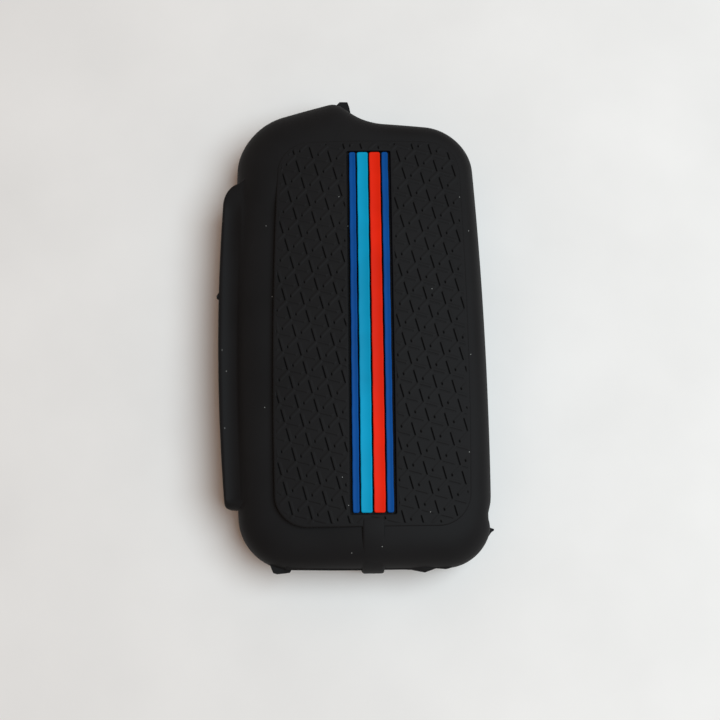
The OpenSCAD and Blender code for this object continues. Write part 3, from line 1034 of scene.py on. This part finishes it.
    # The groove at an arm's foot on its shaded side
    middle = given["Groove Width"]
    off_middle = add(tree, "ShaderNodeMath", {0: distance, 1: middle}, operation="SUBTRACT")[0]
    from_middle = add(tree, "ShaderNodeMath", {0: off_middle}, operation="ABSOLUTE")[0]
    depths = {0: from_middle, 1: 0.0, 2: middle, 3: given["Groove Depth"], 4: 0.0}
    dip = add(tree, "ShaderNodeMapRange", depths, interpolation_type="SMOOTHSTEP")[0]
    sides = {0: facing, 1: groove_from, 2: groove_full, 3: 0.0, 4: 1.0}
    shaded = add(tree, "ShaderNodeMapRange", sides)[0]
    groove = add(tree, "ShaderNodeMath", {0: dip, 1: shaded}, operation="MULTIPLY")[0]
    shape = add(tree, "ShaderNodeMath", {0: rise, 1: groove}, operation="SUBTRACT")[0]
    mask = add(tree, "GeometryNodeInputNamedAttribute", {0: "grip_mask"}, data_type="FLOAT")[0]
    lift = add(tree, "ShaderNodeMath", {0: shape, 1: mask}, operation="MULTIPLY")[0]
    offset = add(tree, "ShaderNodeCombineXYZ", {"Z": lift})[0]
    moved = add(tree, "GeometryNodeSetPosition", {"Geometry": given["Pad"], "Offset": offset})[0]
    real = add(tree, "GeometryNodeRealizeInstances", {0: moved})[0]
    painting = {"Geometry": real, "Material": given["Material"]}
    painted = add(tree, "GeometryNodeSetMaterial", painting)[0]
    tree.links.new(painted, tree.nodes.new("NodeGroupOutput").inputs[0])
    return tree


def grow_grip(pad, material):
    """Lifts the pad's texture and makes the result its plain mesh."""
    step = pad.modifiers.new("grip", "NODES")
    step.node_group = grip_tree()
    values = {
        "Pitch": grip_pitch * MM,
        "Arm Length": grip_pitch * 0.66 * MM,
        "Ridge Width": 0.2 * MM,
        "Steep Flank": 0.15 * MM,
        "Gentle Flank": 0.3 * MM,
        "Height": 0.05 * MM,
        "Groove Width": 0.13 * MM,
        "Groove Depth": 0.3 * MM,
        "Turn": math.radians(grip_turn),
        "Origin": [grip_origin[0] * MM, grip_origin[1] * MM, 0.0],
        # The gentle flanks face this way, 30 degrees up from the right, and the grooves lie opposite
        "Side": [0.866, 0.5, 0.0],
        "Copies": 61,
        "Material": material,
    }
    for item in step.node_group.interface.items_tree:
        if item.in_out == "INPUT" and item.name in values:
            step[item.identifier] = values[item.name]
    return finish_mesh(pad)


def pad_half(pad, name, sign):
    """The pad's part on one side of its middle line."""
    half = pad.copy()
    half.name = name
    bpy.context.scene.collection.objects.link(half)
    x = sorted([pad_x, pad_x + sign * body_w])
    ring = np.array([[x[0], -body_l], [x[1], -body_l], [x[1], body_l], [x[0], body_l]], float)
    faces = band_faces(2, 4) + [(3, 2, 1, 0), (4, 5, 6, 7)]
    box = mesh_object("half_box", np.concatenate([raised(ring, 0), raised(ring, body_h * 2)]), faces)
    return smooth(cut(half, box, "INTERSECT"), degrees=60)


# Materials

def hex_colour(code):
    """Linear colour of an sRGB hex value."""
    parts = [int(code[i : i + 2], 16) / 255 for i in (0, 2, 4)]
    return tuple(c / 12.92 if c <= 0.04045 else ((c + 0.055) / 1.055) ** 2.4 for c in parts) + (1.0,)


def new_material(name):
    made = bpy.data.materials.new(name)
    made.use_nodes = True
    made.node_tree.nodes.clear()
    return made, made.node_tree


silicone_ior = 1.41
# Grain of the blasted mould, drawn coarser than its real 0.05 mm so that it shows, and its relief's strength
grain_size = 0.2
grain_strength = 0.35
# Cloudiness of the rubber, by the size of its spots
cloud_size = 11.1
# How much the cloudiness changes the colour and the roughness, between these values of the noise
cloud_low = 0.3
cloud_high = 0.7
shade_swing = 0.12
rough_swing = 0.03
# Dust: distance between the places where a speck may lie, a speck's half width, and how far up faces have to
# point to catch it
dust_spacing = 6.5
dust_size = 0.07
dust_up = 0.6


def mottled(tree, noise, colour, swing):
    """The colour, made lighter and darker by a noise."""
    tones = {0: noise, 1: cloud_low, 2: cloud_high, 3: 1 - swing, 4: 1 + swing}
    shade = add(tree, "ShaderNodeMapRange", tones)[0]
    return add(tree, "ShaderNodeVectorMath", {0: colour[:3], "Scale": shade}, operation="SCALE")[0]


def silicone(name, colour, roughness, gloss, grain_height, dust):
    """Moulded silicone rubber: dull, with the fine blasted grain of its mould and a few specks of dust."""
    made, tree = new_material(name)
    where = add(tree, "ShaderNodeTexCoord")["Object"]
    fine = {"Vector": where, "Scale": 1 / (grain_size * MM), "Detail": 2.0}
    grain = add(tree, "ShaderNodeTexNoise", fine)["Fac"]
    relief = {"Height": grain, "Strength": grain_strength, "Distance": grain_height * MM}
    bump = add(tree, "ShaderNodeBump", relief)[0]
    broad = {"Vector": where, "Scale": 1 / (cloud_size * MM), "Detail": 3.0}
    cloud = add(tree, "ShaderNodeTexNoise", broad)["Fac"]
    tint = mottled(tree, cloud, colour, shade_swing)
    if dust:
        cells = {"Vector": where, "Scale": 1 / (dust_spacing * MM)}
        cell = add(tree, "ShaderNodeTexVoronoi", cells, voronoi_dimensions="2D")
        reach = {0: cell["Distance"], 1: dust_size / dust_spacing}
        speck = add(tree, "ShaderNodeMath", reach, operation="LESS_THAN")[0]
        chosen = add(tree, "ShaderNodeSeparateXYZ", {0: cell["Color"]})["X"]
        some = add(tree, "ShaderNodeMath", {0: chosen, 1: 1 - dust}, operation="GREATER_THAN")[0]
        normal = add(tree, "ShaderNodeNewGeometry")["Normal"]
        facing = add(tree, "ShaderNodeSeparateXYZ", {0: normal})["Z"]
        upward = add(tree, "ShaderNodeMath", {0: facing, 1: dust_up}, operation="GREATER_THAN")[0]
        both = add(tree, "ShaderNodeMath", {0: speck, 1: some}, operation="MULTIPLY")[0]
        lies = add(tree, "ShaderNodeMath", {0: both, 1: upward}, operation="MULTIPLY")[0]
        dusted = {0: lies, 6: tint, 7: hex_colour("8d8f8d")}
        tint = add(tree, "ShaderNodeMix", dusted, data_type="RGBA")[2]
    sheen = {0: cloud, 1: cloud_low, 2: cloud_high, 3: roughness - rough_swing, 4: roughness + rough_swing}
    rough = add(tree, "ShaderNodeMapRange", sheen)[0]
    surface = {"Base Color": tint, "Roughness": rough, "Specular IOR Level": gloss, "Normal": bump}
    surface["IOR"] = silicone_ior
    shader = add(tree, "ShaderNodeBsdfPrincipled", surface)
    add(tree, "ShaderNodeOutputMaterial", {"Surface": shader[0]})
    return made


# The skin's rubber: soot black and dull, so that only its edges and ridges catch light. dust is the share of
# places that hold a speck
matt = {"roughness": 0.66, "gloss": 0.14, "grain_height": 0.02, "dust": 0.35}
black = silicone("black_silicone", hex_colour("19191a"), **matt)
# The bars' dyed rubber: flat clear colours with a slightly smoother face, and no dust
dyed = {"roughness": 0.55, "gloss": 0.12, "grain_height": 0.01, "dust": 0}
navy = silicone("navy_silicone", hex_colour("00468c"), **dyed)
sky = silicone("sky_blue_silicone", hex_colour("0092bb"), **dyed)
red = silicone("red_silicone", hex_colour("dc2205"), **dyed)


def dress(piece, material, body, slot, *nodes):
    """Gives a piece its material and its body, and hides the CAD parts that it stands in for."""
    piece.data.materials.clear()
    piece.data.materials.append(material)
    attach(piece, body)
    if nodes:
        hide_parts(*nodes)
    return piece


def make_bar(i):
    """Bar number i from the left: its top edge is rounded, its face a little hollow, its sides uneven."""
    x = pad_x - bars_w / 2 + sum(bar_widths[:i]) + bar_gap * i
    w = bar_widths[i]
    l = channel_high - channel_low - bar_gap * 2
    levels = [(-channel_depth, 0), (bar_proud - bar_soft, 0)]
    levels += [(bar_proud - bar_soft + u, g) for u, g in quarter(bar_soft, 5)[1:]]
    levels += [(bar_proud - bar_hollow, bar_soft + bar_hollow * 3)]
    # Points this near to a long side belong to it and take its waves
    slack = 0.02
    rings = []
    for z, g in levels:
        ring = pill(w - g * 2, l - g * 2, bar_corner - g / 2, 5, 240, 4)
        side = np.sign(ring[:, 0]) * (np.abs(ring[:, 0]) > w / 2 - g - slack)
        y = ring[:, 1] + channel_mid
        wave = sum(part * np.sin(y * a + i * b + side * c) for a, b, c, part in bar_waves)
        across = x + w / 2 + ring[:, 0] + bar_wave * wave * side
        rings.append(np.column_stack([across, y, top_z(pad_x, y) + z]))
    return smooth(stacked("bar", rings), degrees=60)


# Buttons with their webs, on the side that lies on the table

# The raised symbols: their height, the width of a line, and their softened edge
icon_rise = 0.14
icon_line = 0.5
icon_soft = 0.06
# Padlock, from the middle of its cap: its case, its shackle, and how far the open one is pulled up
lock_w = 3.6
lock_h = 2.7
lock_corner = 0.5
lock_drop = 0.95
shackle_r = 1.25
shackle_y = 0.85
shackle_foot = 0.2
shackle_gap = 0.35
shackle_up = 0.55
# Car with its boot lid up, from the middle of its cap
car_side = [
    (-3.4, -1.1), (-3.4, -0.2), (-2.9, 0.25), (-2.1, 0.4), (-1.3, 1.15), (0.6, 1.15), (1.5, 0.3),
    (3.1, 0.15), (3.4, -0.3), (3.4, -1.1),
]
car_lid = [(0.95, 1.25), (2.55, 2.1), (2.8, 1.7), (1.2, 0.85)]
wheel_r = 0.62
wheel_y = -1.15
wheels_x = (-1.95, 2.0)


def arch(r, centre, foot, steps=14):
    """Band in the shape of an arch with its two legs down to foot = (left, right), as a ring with hollows."""
    a = np.linspace(math.pi, 0, steps)
    outer = centre + r * np.column_stack([np.cos(a), np.sin(a)])
    inner = centre + (r - icon_line) * np.column_stack([np.cos(a), np.sin(a)])[::-1]
    left, right = foot
    legs = [[centre[0] + r, right], [centre[0] + r - icon_line, right]]
    ends = [[centre[0] - r + icon_line, left], [centre[0] - r, left]]
    return np.concatenate([outer, legs, inner, ends])


def lock_icon(up):
    """Padlock: a case and a shackle, whose one leg is out of the case when it is open."""
    case = pill(lock_w, lock_h, lock_corner, 6, 2, 2) + [0, -lock_drop]
    centre = np.array([0, shackle_y + up])
    loose = shackle_foot if up == 0 else shackle_foot + up + shackle_gap
    return [case[::-1], arch(shackle_r, centre, (shackle_foot, loose))]


def boot_icon():
    """Car seen from the side with its boot lid up."""
    wheels = [circle(wheel_r, 20, x, wheel_y)[::-1] for x in wheels_x]
    return [np.array(car_side), np.array(car_lid)] + wheels


def make_cap(y, icon):
    """Button cap with a rounded, crowned face towards the table and a raised symbol on it."""
    rim_z = cap_up + cap_crown
    rings = []
    for share in np.linspace(0.92, 0.02, 12):
        ring = cap_ring(-cap_soft - share * (cap_reach - cap_soft), y)
        rings.append(raised(ring, rim_z - cap_crown * share * (2 - share)))
    for up, into in quarter(cap_soft, 5):
        rings.append(raised(cap_ring(up - cap_soft, y), rim_z + into))
    rings.append(raised(cap_ring(0, y), cap_up + cap_t))
    cap = stacked("cap", rings)
    for shape in icon:
        ring = np.column_stack([mid_x - shape[:, 0], y + shape[:, 1]])
        levels = [(cap_up - icon_rise, icon_soft), (cap_up - icon_rise + icon_soft, 0), (rim_z + cap_soft, 0)]
        cut(cap, stacked("symbol", [raised(offset_ring(ring, d), z) for z, d in levels], "flat"), "UNION")
    return smooth(cap)


def make_web(y):
    """Thin S-shaped ring between the hole's wall and the cap, closed all round."""
    share = np.linspace(0, 1, 9)
    heights = blend(web_foot_z, web_head_z, ease(share))
    lower = [raised(cap_ring(web_w * (1 - u), y), z) for u, z in zip(share, heights)]
    upper = [ring + [0, 0, web_t] for ring in lower]
    rings = lower[::-1] + upper
    n = len(rings[0])
    total = len(rings) * n
    faces = [[k % total for k in face] for face in band_faces(len(rings) + 1, n)]
    return smooth(mesh_object("web", np.concatenate(rings), faces), degrees=50)


skin = dress(make_skin(), black, "skin", "black_silicone", "skin")
pad = grow_grip(make_pad(), black)
for name, sign in (("grip_pad_left", -1), ("grip_pad_right", 1)):
    dress(pad_half(pad, name, sign), black, "skin", "black_silicone")
bpy.data.objects.remove(pad)

bars = {"inlay_navy_left": navy, "inlay_sky": sky, "inlay_red": red, "inlay_navy_right": navy}
for i, (node, material) in enumerate(bars.items()):
    bar = make_bar(i)
    bar.name = node.replace("inlay", "bar")
    dress(bar, material, "skin", node.split("_")[1] + "_inlay", node)

buttons = [
    ("lock", lock_y, lock_icon(0)),
    ("unlock", unlock_y, lock_icon(shackle_up)),
    ("boot", boot_y, boot_icon()),
]
# Each cap goes on its button's body, each web stays with the skin and gets a copy of its mesh
for name, y, icon in buttons:
    cap = make_cap(y, icon)
    cap.name = name + "_cap"
    dress(cap, black, name + "_button", "black_silicone", name + "_button")
    web = make_web(y)
    web.name = name + "_flexing_web"
    dress(web, black, "skin", "black_silicone", name + "_web")
    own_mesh(web)


# Floor, light and camera

floor_half = 900
mottle_size = 25
mottle_swing = 0.03


def make_floor():
    """Pale paper: a flat white without shine, with a faint mottle."""
    corners = [[-1, -1, 0], [1, -1, 0], [1, 1, 0], [-1, 1, 0]]
    floor = mesh_object("floor", np.array(corners) * floor_half, [(0, 1, 2, 3)])
    made, tree = new_material("pale_paper")
    where = add(tree, "ShaderNodeTexCoord")["Object"]
    spots = {"Vector": where, "Scale": 1 / (mottle_size * MM), "Detail": 4.0}
    mottle = add(tree, "ShaderNodeTexNoise", spots)["Fac"]
    tint = mottled(tree, mottle, hex_colour("edecea"), mottle_swing)
    shader = add(tree, "ShaderNodeBsdfPrincipled", {"Base Color": tint, "Roughness": 0.8})
    add(tree, "ShaderNodeOutputMaterial", {"Surface": shader[0]})
    floor.data.materials.append(made)


def area_light(name, place, aim, size, power, colour):
    """A round soft light, with its places and size in millimetres."""
    lamp = bpy.data.lights.new(name, "AREA")
    lamp.shape = "DISK"
    lamp.size = size * MM
    lamp.energy = power
    lamp.color = hex_colour(colour)[:3]
    made = bpy.data.objects.new(name, lamp)
    made.location = Vector(place) * MM
    made.rotation_euler = (Vector(aim) - Vector(place)).to_track_quat("-Z", "Y").to_euler()
    bpy.context.scene.collection.objects.link(made)


def make_camera():
    """The photograph's view: from high above the tail, looking down its wall."""
    tilt_x = math.radians(1)
    tilt_y = math.radians(10.5)
    roll = math.radians(-0.7)
    target = Vector((1.17, -6.15, 13.4))
    distance = 172.8
    level_part = math.cos(tilt_y)
    back = Vector((-math.sin(tilt_x) * level_part, -math.sin(tilt_y), math.cos(tilt_x) * level_part))
    lens = bpy.data.cameras.new("camera")
    lens.lens = 53.1
    lens.sensor_width = 36
    lens.clip_start = 0.01
    camera = bpy.data.objects.new("camera", lens)
    camera.location = (target + back * distance) * MM
    camera.rotation_mode = "QUATERNION"
    right = Vector((0, 1, 0)).cross(back).normalized()
    level = Matrix((right, back.cross(right), back)).transposed()
    camera.rotation_quaternion = level.to_quaternion() @ Quaternion((0, 0, 1), roll)
    bpy.context.scene.collection.objects.link(camera)
    bpy.context.scene.camera = camera


make_floor()
make_camera()
# A cool window high on the right, and the warm light that the room gives back
area_light("key_window", place=(200, -10, 450), aim=(0, 0, 0), size=380, power=2.45, colour="e1f1f9")
room_strength = 0.33
world = bpy.data.worlds.new("room")
world.use_nodes = True
bpy.context.scene.world = world
background = world.node_tree.nodes["Background"].inputs
background["Color"].default_value = hex_colour("ffd9c0")
background["Strength"].default_value = room_strength
bpy.context.scene.view_settings.view_transform = "Standard"
